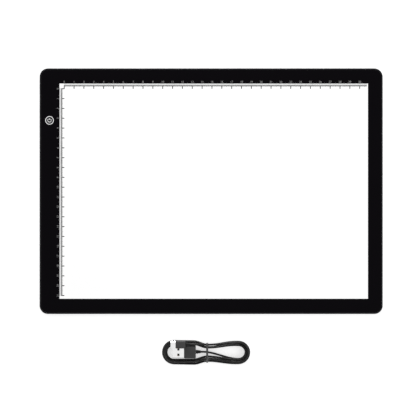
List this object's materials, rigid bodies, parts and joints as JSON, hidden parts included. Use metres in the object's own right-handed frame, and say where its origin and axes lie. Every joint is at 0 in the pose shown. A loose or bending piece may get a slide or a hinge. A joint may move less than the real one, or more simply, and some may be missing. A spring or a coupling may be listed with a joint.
{
  "type": "led tracing pad",
  "caption": "Slim A4 light box with a lit white window, two centimetre rulers, a power button and a USB lead in a tied hank.",
  "frame": {"origin": "on the table under the middle of the pad, level with the underside of its feet", "axes": "+X to the right along the long side, +Y to the top edge where the wide ruler runs, +Z out of the lit window"},
  "size_m": [0.3486, 0.3014, 0.0121],
  "materials": {
    "black_abs": "fine satin moulding texture",
    "black_border_film": "satin black print on film",
    "white_panel": "opal white, lit from behind",
    "clear_acrylic": "polished edges",
    "white_sheet": "matt",
    "adhesive_tape": "matt",
    "circuit_board": "solder mask",
    "led_package": "phosphor under clear resin",
    "plated_steel": "bright nickel plating",
    "white_plastic": "smooth",
    "chip_resin": "matt",
    "capacitor_ceramic": "matt",
    "red_insulation": "smooth",
    "black_insulation": "smooth",
    "foot_rubber": "matt",
    "lead_jacket": "soft satin",
    "plug_overmould": "satin",
    "tie_rubber": "matt"
  },
  "bodies": {
    "pad": {"back_cover": "black_abs", "border_film": "black_border_film", "front_panel": "white_panel", "light_guide_plate": "clear_acrylic", "reflector_sheet": "white_sheet", "diffuser_sheet": "white_sheet", "panel_tape": "adhesive_tape", "led_strip_tape": "adhesive_tape", "main_board": "circuit_board", "led_strip_board": "circuit_board", "led_01": "led_package", "led_02": "led_package", "led_03": "led_package", "led_04": "led_package", "led_05": "led_package", "led_06": "led_package", "led_07": "led_package", "led_08": "led_package", "led_09": "led_package", "led_10": "led_package", "led_11": "led_package", "led_12": "led_package", "led_13": "led_package", "led_14": "led_package", "led_15": "led_package", "led_16": "led_package", "led_17": "led_package", "led_18": "led_package", "led_19": "led_package", "led_20": "led_package", "button_led": "led_package", "socket_shell": "plated_steel", "switch_body": "plated_steel", "usb_a_shell": "plated_steel", "micro_usb_shell": "plated_steel", "button_ring": "white_plastic", "driver_chip": "chip_resin", "controller_chip": "chip_resin", "inductor": "chip_resin", "socket_tongue": "chip_resin", "usb_a_tongue": "chip_resin", "micro_usb_tongue": "chip_resin", "input_capacitor": "capacitor_ceramic", "output_capacitor": "capacitor_ceramic", "wire_positive": "red_insulation", "wire_negative": "black_insulation", "foot_front_left": "foot_rubber", "foot_front_right": "foot_rubber", "foot_back_right": "foot_rubber", "foot_back_left": "foot_rubber", "cable_hank": "lead_jacket", "usb_a_strain_relief": "lead_jacket", "micro_usb_strain_relief": "lead_jacket", "usb_a_overmould": "plug_overmould", "micro_usb_overmould": "plug_overmould", "cable_tie": "tie_rubber"},
    "power_button": {"button_cap": "black_abs", "button_symbol": "white_plastic", "switch_plunger": "white_plastic"}
  },
  "joints": [
    {"name": "power_button_press", "type": "slide", "parent": "pad", "child": "power_button", "axis": [0, 0, -1], "range_m": [0, 0.0004], "stiffness_N_per_m": 1500}
  ]
}
